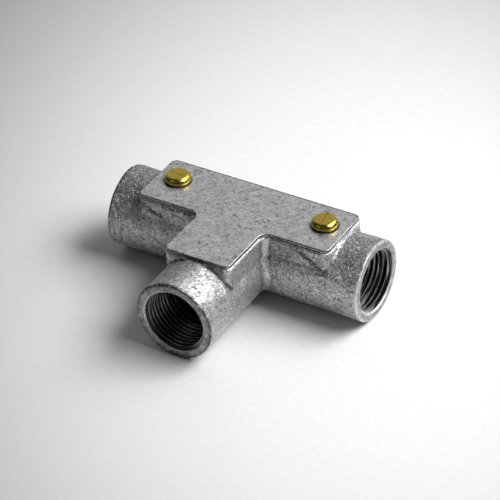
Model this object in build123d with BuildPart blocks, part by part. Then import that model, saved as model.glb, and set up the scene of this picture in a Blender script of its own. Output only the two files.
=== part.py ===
# Inspection tee for 20 mm steel conduit: a galvanised casting with three threaded sockets,
# a T-shaped cover plate, and the two brass screws that hold the cover down.
# Millimetres. +X runs along the straight run, the branch points to -Y, and +Z is up.
# The origin is under the middle of the tee, in the plane that its three barrels rest on.
import os

from build123d import *

# Sockets, with a wall at the minor diameter of an M20 x 1.5 conduit thread
thread_minor_radius = 9.19
thread_depth = 13.0  # from the mouth to the stop shoulder
mouth_chamfer = 1.1  # lead-in of the thread
shoulder_height = 0.99  # step inside the thread that stops the conduit's end
shoulder_edge = 0.5  # bevel that keeps the shoulder from cutting the cables
run_shoulder_thickness = 1.6
branch_shoulder_thickness = 3.0

# Barrels, the round outsides of the three sockets
socket_wall = 3.41  # metal round the thread's minor diameter, at the mouth
barrel_draft = 0.15  # the casting's taper, from the mouth to the box
mouth_band = 1.2  # straight part of the barrel at its mouth
mouth_edge_bevel = 0.7
run_reach = 42.5  # from the crossing of the axes to each mouth of the run
branch_reach = 43.6  # from the crossing of the axes to the mouth of the branch

# Box, the open middle that the cover closes
run_neck = 10.0  # length of barrel between the end of an arm and its mouth
branch_neck = 13.4  # and between the end of the stem and the mouth of the branch
arm_setback = 2.05  # the arms' walls stand this far inside the widest line of the barrels
stem_setback = 1.45
rim_step = 0.1  # the rim's ground face stands this far above the barrels where they leave the box
box_corner_radius = 2.35
crotch_radius = 2.5  # casting fillet where the branch leaves the run, in the box and below it
rim_edge_bevel = 0.5

# Cavity inside the box
cavity_step = 0.41  # the cavity is this much wider than the thread, in radius
rim_land_side = 2.6  # width of the rim's face along the walls
opening_corner_radius = 1.6

# Lugs at the ends of the arms, tapped for the cover screws
screw_end_distance = 7.5  # from a screw to the end of its arm
screw_offset = 1.0  # the screws stand this far behind the run's axis
lug_radius = 4.4
lug_depth = 5.0
lug_edge_bevel = 0.6
tapped_hole_bevel = 0.3

# Cover plate
cover_thickness = 1.1
cover_inset = 0.45  # ledge of the rim that shows all round the cover
cover_edge_bevel = 0.2
cover_hole_clearance = 0.25

# Cover screws, M4, slotted, with a flat-topped pan head
screw_radius = 2.0
screw_running_clearance = 0.05  # between the shank and the tapped hole
screw_end_gap = 0.2  # the shank stops this far above the underside of the lug
screw_point_bevel = 0.4
head_radius = 4.0
head_height = 2.4
head_shoulder_drop = 0.45  # the side turns in to the flat top in two bevels
head_shoulder_inset = 0.3
head_side_drop = 1.25
head_top_inset = 1.05
slot_width = 0.6
slot_depth = 0.7
left_slot_angle = -8.0  # from the run, as the screw was left
right_slot_angle = 98.0

# Places worked out from the sizes
barrel_radius = thread_minor_radius + socket_wall
root_radius = barrel_radius - barrel_draft
shoulder_radius = thread_minor_radius - shoulder_height
cavity_radius = thread_minor_radius + cavity_step
axis_z = barrel_radius
run_y = (branch_reach - barrel_radius) / 2
crossing = Vector(0, run_y, axis_z)
rim_height = root_radius + rim_step
rim_z = axis_z + rim_height
cover_top_z = rim_z + cover_thickness
arm_reach = run_reach - run_neck
stem_reach = branch_reach - branch_neck
cavity_run_reach = run_reach - thread_depth - run_shoulder_thickness
cavity_stem_reach = branch_reach - thread_depth - branch_shoulder_thickness
rim_land_run_end = arm_reach - cavity_run_reach
rim_land_stem_end = stem_reach - cavity_stem_reach
lug_x = arm_reach - screw_end_distance
lug_y = run_y + screw_offset
lug_end_x = arm_reach - rim_land_run_end / 2
hole_places = [(-lug_x, lug_y), (lug_x, lug_y)]

# Each half plane has one axis of the tee as its X, and the height above that axis as its Y
right_half_plane = Plane(origin=crossing, x_dir=(1, 0, 0), z_dir=(0, -1, 0))
left_half_plane = Plane(origin=crossing, x_dir=(-1, 0, 0), z_dir=(0, 1, 0))
branch_half_plane = Plane(origin=crossing, x_dir=(0, -1, 0), z_dir=(-1, 0, 0))
run_axis = Axis(crossing, (1, 0, 0))
branch_axis = Axis(crossing, (0, -1, 0))


def barrel_face(half_plane, reach, box_reach):
    """Half the long section of a solid barrel, from the crossing to its bevelled mouth."""
    with BuildSketch(half_plane) as section:
        with BuildLine():
            Polyline(
                (0, 0),
                (0, root_radius),
                (box_reach, root_radius),
                (reach - mouth_band, barrel_radius),
                (reach, barrel_radius),
                (reach, 0),
                close=True,
            )
        make_face()
        chamfer(section.vertices().sort_by_distance((reach, barrel_radius, 0))[0], mouth_edge_bevel)
    return section.sketch


def socket_face(half_plane, reach, cavity_reach):
    """Half the long section of the space in a socket: shoulder, thread and lead-in."""
    thread_end = reach - thread_depth
    with BuildSketch(half_plane) as section:
        with BuildLine():
            Polyline(
                (cavity_reach, 0),
                (cavity_reach, shoulder_radius + shoulder_edge),
                (cavity_reach + shoulder_edge, shoulder_radius),
                (thread_end - shoulder_edge, shoulder_radius),
                (thread_end, shoulder_radius + shoulder_edge),
                (thread_end, thread_minor_radius),
                (reach - mouth_chamfer, thread_minor_radius),
                (reach, thread_minor_radius + mouth_chamfer),
                (reach, 0),
                close=True,
            )
        make_face()
    return section.sketch


def tee_face(height, side_inset, run_end_inset, stem_end_inset, corner_radius):
    """The box's T outline at a height, with each wall and end moved in by its inset."""
    half_arm = barrel_radius - arm_setback - side_inset
    half_stem = barrel_radius - stem_setback - side_inset
    stem_length = stem_reach - stem_end_inset
    with BuildSketch(Plane.XY.offset(height)) as outline:
        with Locations((0, run_y)):
            Rectangle(2 * (arm_reach - run_end_inset), 2 * half_arm)
        with Locations((0, run_y - stem_length / 2)):
            Rectangle(2 * half_stem, stem_length)
        crotch = (0, run_y - half_arm, 0)
        fillet(outline.vertices().sort_by_distance(crotch)[:2], crotch_radius + side_inset)
        fillet(outline.vertices().sort_by_distance(crotch)[4:], corner_radius)
    return outline.sketch


# One lug, a nosed pad that grows out of the arm's end wall
with BuildPart() as lug_form:
    with BuildSketch(Plane.XY.offset(rim_z)):
        with Locations((lug_x, lug_y)):
            Circle(lug_radius)
        with Locations(((lug_x + lug_end_x) / 2, lug_y)):
            Rectangle(lug_end_x - lug_x, 2 * lug_radius)
    extrude(amount=-lug_depth)
    chamfer(lug_form.faces().sort_by(Axis.Z)[0].edges(), lug_edge_bevel)

# The casting
with BuildPart() as casting:
    # Box, solid at first, with the bevel of its rim
    extrude(tee_face(axis_z, 0, 0, 0, box_corner_radius), amount=rim_height)
    chamfer(casting.faces().sort_by(Axis.Z)[-1].edges(), rim_edge_bevel)

    # Barrels, and the fillet along the seams where they cross
    revolve(barrel_face(right_half_plane, run_reach, arm_reach), axis=run_axis)
    revolve(barrel_face(left_half_plane, run_reach, arm_reach), axis=run_axis)
    revolve(barrel_face(branch_half_plane, branch_reach, stem_reach), axis=branch_axis)
    seams = casting.edges().filter_by(GeomType.ELLIPSE)
    fillet(seams.filter_by_position(Axis.Z, 0, axis_z + root_radius / 2), crotch_radius)

    # Cavity: two crossing round tunnels under the T opening of the rim
    opening = tee_face(axis_z, rim_land_side, rim_land_run_end, rim_land_stem_end, opening_corner_radius)
    extrude(opening, amount=rim_height, mode=Mode.SUBTRACT)
    with Locations(Location(Plane(crossing, z_dir=(1, 0, 0)))):
        Cylinder(cavity_radius, 2 * cavity_run_reach, mode=Mode.SUBTRACT)
    with Locations(Location(Plane(crossing, z_dir=(0, -1, 0)))):
        Cylinder(
            cavity_radius,
            cavity_stem_reach,
            align=(Align.CENTER, Align.CENTER, Align.MIN),
            mode=Mode.SUBTRACT,
        )

    # Lugs in the cavity
    add(lug_form.part)
    mirror(lug_form.part, about=Plane.YZ)

    # Sockets
    revolve(socket_face(right_half_plane, run_reach, cavity_run_reach), axis=run_axis, mode=Mode.SUBTRACT)
    revolve(socket_face(left_half_plane, run_reach, cavity_run_reach), axis=run_axis, mode=Mode.SUBTRACT)
    branch_socket = socket_face(branch_half_plane, branch_reach, cavity_stem_reach)
    revolve(branch_socket, axis=branch_axis, mode=Mode.SUBTRACT)

    # Tapped holes
    with Locations(*[(x, y, rim_z) for x, y in hole_places]):
        CounterSinkHole(screw_radius, screw_radius + tapped_hole_bevel, lug_depth)

casting.part.label = "casting"

# The cover plate
with BuildPart() as cover_plate:
    plate = tee_face(rim_z, cover_inset, cover_inset, cover_inset, box_corner_radius - cover_inset)
    extrude(plate, amount=cover_thickness)
    chamfer(cover_plate.faces().sort_by(Axis.Z)[-1].edges(), cover_edge_bevel)
    with Locations(*[(x, y, cover_top_z) for x, y in hole_places]):
        Hole(screw_radius + cover_hole_clearance, cover_thickness)

cover_plate.part.label = "cover_plate"


def cover_screw(x, y, slot_angle):
    """One cover screw, turned from brass, with its slot milled across the head."""
    shank_radius = screw_radius - screw_running_clearance
    screw_length = cover_thickness + lug_depth - screw_end_gap
    seat = Plane((x, y, cover_top_z))
    with BuildPart() as screw:
        with BuildSketch(Plane(seat.origin, x_dir=(1, 0, 0), z_dir=(0, -1, 0))):
            with BuildLine():
                Polyline(
                    (0, head_height),
                    (0, -screw_length),
                    (shank_radius - screw_point_bevel, -screw_length),
                    (shank_radius, screw_point_bevel - screw_length),
                    (shank_radius, 0),
                    (head_radius, 0),
                    (head_radius, head_height - head_side_drop),
                    (head_radius - head_shoulder_inset, head_height - head_shoulder_drop),
                    (head_radius - head_top_inset, head_height),
                    close=True,
                )
            make_face()
        revolve(axis=Axis(seat.origin, (0, 0, 1)))
        with BuildSketch(seat.offset(head_height)):
            Rectangle(3 * head_radius, slot_width, rotation=slot_angle)
        extrude(amount=-slot_depth, mode=Mode.SUBTRACT)
    return screw.part


left_hole, right_hole = hole_places
screw_left = cover_screw(*left_hole, left_slot_angle)
screw_left.label = "screw_left"
screw_right = cover_screw(*right_hole, right_slot_angle)
screw_right.label = "screw_right"

os.makedirs("parts", exist_ok=True)
export_step(casting.part, "parts/casting.step")
export_step(cover_plate.part, "parts/cover_plate.step")
export_step(screw_left, "parts/screw_left.step")
export_step(screw_right, "parts/screw_right.step")
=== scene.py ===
"""Looks of a galvanised conduit tee: the casting, its cover plate, two brass screws and the stage.

The run lies along X, the branch points to -Y, and Z is up."""

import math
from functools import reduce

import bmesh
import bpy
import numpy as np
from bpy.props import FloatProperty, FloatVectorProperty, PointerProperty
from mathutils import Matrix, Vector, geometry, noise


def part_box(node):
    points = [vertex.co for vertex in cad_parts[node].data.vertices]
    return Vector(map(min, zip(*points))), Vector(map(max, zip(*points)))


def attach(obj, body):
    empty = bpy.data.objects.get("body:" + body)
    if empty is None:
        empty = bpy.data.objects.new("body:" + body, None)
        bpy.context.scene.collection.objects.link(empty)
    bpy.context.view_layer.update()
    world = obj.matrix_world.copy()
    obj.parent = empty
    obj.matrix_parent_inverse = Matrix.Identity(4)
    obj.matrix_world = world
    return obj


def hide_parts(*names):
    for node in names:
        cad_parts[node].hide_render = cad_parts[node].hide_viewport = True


bl_info = {
    "name": "Conduit Tee",
    "version": (1, 0, 0),
    "blender": (4, 5, 0),
    "location": "3D View > Sidebar > Conduit Tee",
    "description": "Builds a threaded conduit tee with a screwed-down cover",
    "category": "Add Mesh",
}

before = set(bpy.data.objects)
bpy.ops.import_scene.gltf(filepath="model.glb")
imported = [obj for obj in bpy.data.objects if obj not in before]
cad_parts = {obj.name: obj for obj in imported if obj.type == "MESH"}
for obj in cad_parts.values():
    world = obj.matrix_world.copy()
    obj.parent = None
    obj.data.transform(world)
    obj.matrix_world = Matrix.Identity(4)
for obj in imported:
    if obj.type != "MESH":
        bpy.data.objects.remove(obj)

MM = 0.001
DEGREE = math.pi / 180
LEDGE = 0.45 * MM  # of the rim, all round the cover
casting_low, casting_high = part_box("casting")
cover_low, cover_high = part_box("cover_plate")
left_low, left_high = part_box("screw_left")
right_low, right_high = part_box("screw_right")


# Settings


def length(name, description, default):
    """A size in the settings."""
    return FloatProperty(name=name, description=description, default=default, unit="LENGTH")


def angle(name, description, degrees):
    """A turn in the settings."""
    return FloatProperty(name=name, description=description, default=degrees * DEGREE, unit="ROTATION")


def power(name, description, default):
    """The power of a lamp in the settings."""
    return FloatProperty(name=name, description=description, default=default, unit="POWER")


def tint(name, description, default):
    """A colour in the settings."""
    return FloatVectorProperty(
        name=name, description=description, default=default, subtype="COLOR", min=0, max=1)


class CastingSize(bpy.types.PropertyGroup):
    """Sizes of the casting. Reaches are measured from where the axes of the sockets cross."""

    barrel_radius: length("Barrel radius", "Outside of a socket at its mouth", casting_high.z / 2)
    barrel_draft: length(
        "Barrel draft", "How much thinner a barrel is where it leaves the box", 0.15 * MM)
    run_reach: length("Run reach", "From the crossing to each mouth of the run", casting_high.x)
    branch_reach: length(
        "Branch reach", "From the crossing to the mouth of the branch",
        casting_high.y - casting_high.z / 2 - casting_low.y)
    mouth_round: length("Mouth rounding", "Radius of the outer edge of a mouth", 0.5 * MM)
    arm_reach: length(
        "Arm reach", "From the crossing to the end of each arm of the box", cover_high.x + LEDGE)
    arm_half_width: length(
        "Arm half width", "From the run's axis to the side walls of the arms", 10.55 * MM)
    stem_reach: length(
        "Stem reach", "From the crossing to the end of the stem of the box",
        casting_high.y - casting_high.z / 2 - cover_low.y + LEDGE)
    stem_half_width: length(
        "Stem half width", "From the branch's axis to the side walls of the stem", 11.15 * MM)
    rim_height: length(
        "Rim height", "From the axes up to the ground face of the rim",
        cover_low.z - casting_high.z / 2)
    corner_round: length("Corner rounding", "Radius of the upright corners of the box", 2.35 * MM)
    rim_round: length("Rim rounding", "Radius of the edge all round the rim", 0.35 * MM)
    worn_round: length("Worn rounding", "Radius of the rim's edge where it faces right", 0.85 * MM)
    crotch_round: length("Crotch fillet", "Radius where the branch leaves the run", 2.5 * MM)
    foot_round: length(
        "Foot fillet", "Radius where the walls of the box grow out of the barrels", 0.8 * MM)
    thread_radius: length("Thread crest radius", "Minor radius of the conduit thread", 9.19 * MM)
    thread_root_radius: length("Thread root radius", "Major radius of the conduit thread", 9.98 * MM)
    thread_pitch: length("Thread pitch", "Height of one turn of the conduit thread", 1.5 * MM)
    thread_depth: length("Thread depth", "From the mouth to the stop shoulder", 13.0 * MM)
    mouth_chamfer: length("Mouth chamfer", "Lead-in at the mouth of a socket", 1.1 * MM)
    shoulder_radius: length("Shoulder radius", "Bore of the shoulder that stops the conduit", 8.2 * MM)
    run_shoulder: length("Run shoulder", "Thickness of the shoulders of the run", 1.6 * MM)
    branch_shoulder: length("Branch shoulder", "Thickness of the shoulder of the branch", 3.0 * MM)
    cavity_radius: length("Cavity radius", "Radius of the round tunnels inside", 9.6 * MM)
    rim_land: length("Rim land", "Width of the rim's face along the walls", 2.6 * MM)
    lug_radius: length("Lug radius", "Nose of the two lugs that take the screws", 4.4 * MM)
    lug_depth: length("Lug depth", "Thickness of the two lugs", 5.0 * MM)
    skin_step: length("Skin step", "Mesh size of the outer skin", 0.44 * MM)
    cavity_step: length("Cavity step", "Mesh size of the skin inside", 0.7 * MM)
    lump_depth: length("Lump depth", "How deep the unevenness of the cast skin goes", 0.19 * MM)


class CoverSize(bpy.types.PropertyGroup):
    """Sizes of the cover plate."""

    inset: length("Ledge", "Ledge of the rim that shows all round the cover", LEDGE)
    edge_round: length("Edge rounding", "Radius of the upper edge", 0.22 * MM)
    hole_radius: length("Hole radius", "Clearance holes of the two screws", 2.25 * MM)
    mesh_step: length("Mesh step", "Spacing of the points on the flat faces", 0.8 * MM)
    waviness: length("Waviness", "How far the rolled face dips below a true plane", 0.05 * MM)


class ScrewSize(bpy.types.PropertyGroup):
    """Sizes of the cover screws."""

    head_radius: length("Head radius", "Radius of the pan head", (right_high.x - right_low.x) / 2)
    head_height: length("Head height", "Height of the pan head", right_high.z - cover_high.z)
    shank_radius: length("Shank radius", "Radius over the thread of the shank", 1.95 * MM)
    shank_pitch: length("Shank pitch", "Height of one turn of the screw's thread", 0.7 * MM)
    head_shoulder: length(
        "Head shoulder", "Width of the round shoulder outside the flat top", 1.15 * MM)
    head_foot: length("Head foot", "How far the foot of the head is rounded in", 0.45 * MM)
    left_slot_width: length(
        "Left slot width", "Width of the left screw's slot, nearly closed by wear", 0.1 * MM)
    right_slot_width: length("Right slot width", "Width of the right screw's slot", 0.32 * MM)
    slot_depth: length("Slot depth", "Depth of the driver slots", 0.5 * MM)
    left_slot_angle: angle("Left slot", "Turn of the left screw's slot from the run", -8)
    right_slot_angle: angle("Right slot", "Turn of the right screw's slot from the run", 98)


class FinishColours(bpy.types.PropertyGroup):
    """Colours of the metals."""

    zinc: tint("Zinc", "Galvanised skin of the casting", (0.59, 0.59, 0.59))
    # bright_zinc: painted highlights on right-facing edges, ridges and crests; also scratches, specks and
    # the cut lead-in
    bright_zinc: tint("Bright zinc", "Zinc where edges have been rubbed", (0.86, 0.86, 0.86))
    # The dark tone of painted shade in hollows, creases and under edges; also of pits, crazing and dirt
    shade_and_grime: tint("Grime", "Dirt in the hollows of the casting", (0.055, 0.053, 0.05))
    thread: tint("Thread", "Cut thread of the sockets", (0.50, 0.49, 0.48))
    plate: tint("Plate", "Galvanised sheet of the cover", (0.475, 0.475, 0.485))
    brass: tint("Brass", "Brass of the screws", (0.64, 0.47, 0.085))


class StageSize(bpy.types.PropertyGroup):
    """Where the camera stands, and how bright the room is."""

    target: FloatVectorProperty(
        name="Target", description="Point that the camera looks at",
        default=(1.95 * MM, 11.85 * MM, 12.6 * MM), subtype="TRANSLATION", unit="LENGTH")
    azimuth: angle("Azimuth", "Turn of the camera round the tee", 32.18)
    elevation: angle("Elevation", "Height of the camera above the horizon", 36.21)
    roll: angle("Roll", "Tilt of the camera about its own line of sight", -2.85)
    distance: length("Distance", "From the camera to its target", 823.5 * MM)
    lens: FloatProperty(
        name="Lens", description="Focal length of the camera in millimetres",
        default=201.0, unit="CAMERA")
    room_light: FloatProperty(
        name="Room light", description="Strength of the light from all round", default=0.03)
    wall_light: FloatProperty(
        name="Wall light", description="Strength of the light from the wall behind the tee", default=0.48)
    key_power: power("Key power", "Power of the softbox to the right of the tee", 8.1)
    glare_power: power("Glare power", "Power of the softbox behind the key", 2.0)
    fill_power: power("Fill power", "Power of the softbox to the left of the camera", 0.25)


# Distances from surfaces, negative inside


def rise(value, start, width):
    """0 up to a start, then growing to 1 over a width."""
    return np.clip((value - start) / width, 0, 1)


def near(gap, width):
    """1 where the gap is nothing, and fading to 0 a width or two away."""
    return np.exp(-(gap / width) ** 2)


def quarter_turn(steps):
    """Angles from 0 to a right angle, in even steps."""
    return [math.pi / 2 * k / steps for k in range(steps + 1)]


def round_union(a, b, radius, level=0.0):
    """Joins two forms, with a rolled fillet in the crease between them.

    level is the cosine of the angle between their faces, near 1 where one runs on into the other."""
    most_level = 0.98
    level = np.clip(level, 0, most_level)
    deep_a, deep_b = radius - a, radius - b
    rolled = (deep_a > level * deep_b) & (deep_b > level * deep_a)
    reach = np.sqrt((deep_a ** 2 + deep_b ** 2 - 2 * level * deep_a * deep_b) / (1 - level ** 2))
    return np.where(rolled, radius - reach, np.minimum(a, b))


def round_meet(a, b, radius):
    """Keeps what lies inside both forms, with a rounded edge."""
    edge = np.hypot(np.maximum(radius + a, 0), np.maximum(radius + b, 0))
    return np.minimum(-radius, np.maximum(a, b)) + edge


def plate_distance(x, y, half_x, half_y, radius):
    """From an upright prism with rounded corners, seen from above."""
    over_x = np.abs(x) - half_x + radius
    over_y = np.abs(y) - half_y + radius
    outside = np.hypot(np.maximum(over_x, 0), np.maximum(over_y, 0))
    return outside + np.minimum(np.maximum(over_x, over_y), 0) - radius


def tee_distance(x, y, size, side_inset=0.0, run_end_inset=0.0, stem_end_inset=0.0):
    """From the T outline of the box, seen from above, with its walls moved in."""
    least_corner = 0.8 * MM
    corner = max(size.corner_round - side_inset, least_corner)
    arm = plate_distance(x, y, size.arm_reach - run_end_inset, size.arm_half_width - side_inset, corner)
    half_stem = (size.stem_reach - stem_end_inset) / 2
    stem = plate_distance(x, y + half_stem, size.stem_half_width - side_inset, half_stem, corner)
    return round_union(arm, stem, size.crotch_round + side_inset)


def tee_slope(x, y, size, gap=0.02 * MM):
    """The way out of the T outline, seen from above."""
    out_x = tee_distance(x + gap, y, size) - tee_distance(x - gap, y, size)
    out_y = tee_distance(x, y + gap, size) - tee_distance(x, y - gap, size)
    return out_x / (2 * gap), out_y / (2 * gap)


def barrel_distance(along, radius, reach, root_reach, size):
    """From one barrel, which swells a little from the box to its mouth."""
    share = rise(along, root_reach, reach - root_reach)
    side = radius - size.barrel_radius + size.barrel_draft * (1 - share)
    return round_meet(side, along - reach, size.mouth_round)


def casting_forms(points, size):
    """From the barrels and from the box, and the cosine of the angle between their faces."""
    x, y, z = points.T
    from_run, from_branch = np.hypot(y, z), np.hypot(x, z)
    run = barrel_distance(np.abs(x), from_run, size.run_reach, size.arm_reach, size)
    branch = barrel_distance(-y, from_branch, size.branch_reach, size.stem_reach, size)
    level = z ** 2 / np.maximum(from_run * from_branch, MM ** 2)
    barrels = round_union(run, np.maximum(branch, y), size.crotch_round, level)
    out_x, out_y = tee_slope(x, y, size)
    rim_round = size.rim_round + (size.worn_round - size.rim_round) * np.clip(out_x, 0, 1) ** 2
    box = round_meet(tee_distance(x, y, size), z - size.rim_height, rim_round)
    on_run = out_y * y / np.maximum(from_run, MM)
    on_branch = out_x * x / np.maximum(from_branch, MM)
    return barrels, np.maximum(box, -z), np.where(run < branch, on_run, on_branch)


def casting_distance(points, size):
    """From the outside of the casting, for points measured from the crossing."""
    barrels, box, level = casting_forms(points, size)
    whole = round_union(barrels, box, size.foot_round, level)
    return np.maximum(whole, points[:, 2] - size.rim_height)


def cavity_distance(points, size):
    """From the space inside the casting, between the shoulders of its sockets."""
    end_round, seam_round, opening_round = 0.8 * MM, 1.5 * MM, 1.2 * MM
    lug_foot_round, lug_round = 0.6 * MM, 0.5 * MM
    past_the_rim = 1.5 * MM
    x, y, z = points.T
    run_end = size.run_reach - size.thread_depth - size.run_shoulder
    stem_end = size.branch_reach - size.thread_depth - size.branch_shoulder
    run = round_meet(np.hypot(y, z) - size.cavity_radius, np.abs(x) - run_end, end_round)
    stem = round_meet(np.hypot(x, z) - size.cavity_radius, -y - stem_end, end_round)
    opening = tee_distance(x, y, size, size.rim_land, size.arm_reach - run_end, size.stem_reach - stem_end)
    box = np.maximum(np.maximum(opening, -z), z - size.rim_height - past_the_rim)
    tunnels = round_union(run, np.maximum(stem, y), seam_round)
    lug_x, lug_y = lug_place(size)
    nose = np.hypot(np.maximum(lug_x - np.abs(x), 0), y - lug_y) - size.lug_radius
    lug = round_meet(nose, size.rim_height - size.lug_depth - z, lug_foot_round)
    return round_meet(round_union(tunnels, box, opening_round), -lug, lug_round)


def lug_place(size):
    """The right lug's screw hole, measured from the crossing."""
    middle = (right_low + right_high) / 2
    return middle.x, middle.y - (casting_high.y - size.barrel_radius)


def crossing_of(size):
    """Where the axes of the three sockets cross."""
    return np.array((0, casting_high.y - size.barrel_radius, size.barrel_radius))


# Making meshes


def net_of(distance, low, high, step):
    """Points and quads of a closed net, one point in each cell that the surface crosses."""
    touching = 0.0001 * MM  # counts as inside, so that rounding never decides
    cell_corners = 8
    counts = np.ceil((high - low) / step).astype(int) + 1
    axes = [low[i] + step * np.arange(counts[i]) for i in range(3)]
    grid = np.stack(np.meshgrid(*axes, indexing="ij"), -1).reshape(-1, 3)
    inside = (distance(grid) < touching).reshape(counts)
    cells = counts - 1
    filled = sum(
        inside[i:i + cells[0], j:j + cells[1], k:k + cells[2]].astype(int)
        for i in (0, 1) for j in (0, 1) for k in (0, 1)
    )
    crossed = (filled > 0) & (filled < cell_corners)
    number = np.full(cells, -1)
    number[crossed] = np.arange(crossed.sum())
    points = low + step * (np.argwhere(crossed) + 0.5)
    quads = []
    for axis in range(3):
        side, up = (axis + 1) % 3, (axis + 2) % 3
        first = np.moveaxis(inside, (axis, side, up), (0, 1, 2))[:, 1:-1, 1:-1]
        cell = np.moveaxis(number, (axis, side, up), (0, 1, 2))
        here, there = first[:-1], first[1:]
        ring = np.stack((cell[:, :-1, :-1], cell[:, 1:, :-1], cell[:, 1:, 1:], cell[:, :-1, 1:]), -1)
        quads.append(ring[here & ~there])
        quads.append(ring[~here & there][:, ::-1])
    return points, np.concatenate(quads)


def slope_of(distance, points, gap=0.02 * MM):
    """The direction in which the distance grows fastest."""
    steps = gap * np.eye(3)
    return np.stack([distance(points + s) - distance(points - s) for s in steps], -1) / (2 * gap)


def settle(points, quads, distance, step, rounds=5):
    """Evens out the net, and pulls its points onto the surface."""
    least_slope = 0.2
    ends = np.concatenate([quads[:, (i, (i + 1) % 4)] for i in range(4)])
    count = np.bincount(ends[:, 0], minlength=len(points))[:, None]
    for _ in range(rounds):
        total = [np.bincount(ends[:, 0], points[ends[:, 1], i], len(points)) for i in range(3)]
        points = (points + np.stack(total, -1) / count) / 2
        for _ in range(2):
            slope = slope_of(distance, points)
            pull = distance(points) / np.maximum((slope ** 2).sum(1), least_slope)
            points = points - slope * np.clip(pull, -step, step)[:, None]
    return points


def put_in_scene(name, data):
    """A new object at the origin, with this mesh, lamp or camera."""
    piece = bpy.data.objects.new(name, data)
    bpy.context.scene.collection.objects.link(piece)
    return piece


def mesh_object(name, points, faces):
    """A new object from plain points and faces."""
    mesh = bpy.data.meshes.new(name)
    mesh.from_pydata(np.asarray(points).tolist(), [], np.asarray(faces).tolist())
    mesh.update()
    return put_in_scene(name, mesh)


def object_of(name, bm):
    """A new object from a finished bmesh, with its normals outward."""
    bmesh.ops.recalc_face_normals(bm, faces=bm.faces)
    if bm.calc_volume(signed=True) < 0:
        bmesh.ops.reverse_faces(bm, faces=bm.faces)
    mesh = bpy.data.meshes.new(name)
    bm.to_mesh(mesh)
    bm.free()
    return put_in_scene(name, mesh)


def combine(piece, tool, operation):
    """Joins a tool to the piece or cuts it away, as one more modifier."""
    step = piece.modifiers.new(tool.name, "BOOLEAN")
    step.operation = operation
    step.solver = "MANIFOLD"
    step.object = tool


def cut_away(piece, tools):
    """Cuts the tools out of the piece for good, and removes them."""
    for tool in tools:
        combine(piece, tool, "DIFFERENCE")
    depsgraph = bpy.context.evaluated_depsgraph_get()
    finished = bpy.data.meshes.new_from_object(piece.evaluated_get(depsgraph))
    finished.materials.clear()
    piece.modifiers.clear()
    rough = piece.data
    piece.data = finished
    bpy.data.meshes.remove(rough)
    for tool in tools:
        bpy.data.meshes.remove(tool.data)
    if not piece.data.polygons:
        raise RuntimeError(f"nothing is left of {piece.name}")


def smooth_with_edges(piece, sharpest):
    """Shades the piece smoothly, apart from edges sharper than an angle."""
    piece.data.shade_smooth()
    piece.data.set_sharp_from_angle(angle=sharpest)


def spots_of(items, name, size):
    """Places of a mesh's points or faces, measured from the crossing."""
    places = np.empty(len(items) * 3)
    items.foreach_get(name, places)
    return places.reshape(-1, 3) - crossing_of(size)


def write_layer(mesh, name, values):
    """Stores a value from 0 to 1 at each point of the mesh, for its material."""
    layer = mesh.attributes.new(name, "FLOAT", "POINT")
    layer.data.foreach_set("value", np.clip(values, 0, 1).astype(np.float32))


def turned_form(profile, segments):
    """A closed turned form about Z, from (radius, height) points that start and end on the axis."""
    bm = bmesh.new()
    verts = [bm.verts.new((r, 0, h)) for r, h in profile]
    edges = [bm.edges.new(pair) for pair in zip(verts, verts[1:])]
    bmesh.ops.spin(
        bm, geom=verts + edges, cent=(0, 0, 0), axis=(0, 0, 1),
        angle=2 * math.pi, steps=segments, use_merge=True)
    bmesh.ops.remove_doubles(bm, verts=bm.verts, dist=0.001 * MM)
    return bm


def helix_form(rows, pitch, low, high, trim, segments):
    """A closed threaded form about Z. Its rows of points climb along the thread.

    rows are (share of a turn, radius), and trim(height, radius) shapes the thread near its ends."""
    bm = bmesh.new()
    turns = math.ceil((high - low) / pitch) + 2
    grid = []
    for turn in range(turns):
        for share, radius in rows:
            base = low + (turn - 1 + share) * pitch
            row = []
            for i in range(segments):
                around = 2 * math.pi * i / segments
                height = min(max(base + pitch * i / segments, low), high)
                r = trim(height, radius if low < height < high else rows[0][1])
                row.append(bm.verts.new((r * math.cos(around), r * math.sin(around), height)))
            grid.append(row)
    last = len(grid) - 1
    for k in range(last):
        for i in range(segments):
            if i + 1 < segments:
                far = (grid[k + 1][i + 1], grid[k][i + 1])
            else:
                far = (grid[min(k + 1 + len(rows), last)][0], grid[min(k + len(rows), last)][0])
            corners = dict.fromkeys((grid[k][i], grid[k + 1][i], *far))
            if len(corners) > 2:
                bm.faces.new(corners)
    bmesh.ops.remove_doubles(bm, verts=bm.verts, dist=0.001 * MM)
    bmesh.ops.delete(bm, geom=[v for v in bm.verts if not v.link_faces], context="VERTS")
    open_edges = [e for e in bm.edges if e.is_boundary]
    bmesh.ops.holes_fill(bm, edges=open_edges, sides=0)
    return bm


# The casting


def lump_depths(points, size):
    """How far the cast skin lies inside its true form, from broad waves down to wrinkles."""
    wave_size, lump_size, wrinkle_size, bend_size = 9, 2.6, 1.1, 2
    wave_share, lump_share, wrinkle_share = 0.30, 0.45, 0.35
    fall_off, gap, octaves = 0.7, 2.1, 3
    bend = 0.4
    apart = Vector((7, 3, 5))
    noise.seed_set(1)  # or else noise_vector bends the wrinkles by the time of day
    depths = np.empty(len(points))
    for i, point in enumerate(points):
        spot = Vector(point) / MM
        waves = noise.noise(spot / wave_size)
        lumps = noise.fractal(spot / lump_size, fall_off, gap, octaves)
        bent = spot / wrinkle_size + apart + bend * noise.noise_vector(spot / bend_size)
        wrinkles = 1 - abs(noise.noise(bent))
        depths[i] = (
            wave_share * (1 + waves) / 2 + lump_share * (1 + lumps) / 2 + wrinkle_share * wrinkles)
    return size.lump_depth * np.clip(depths, 0, 1)


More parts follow.
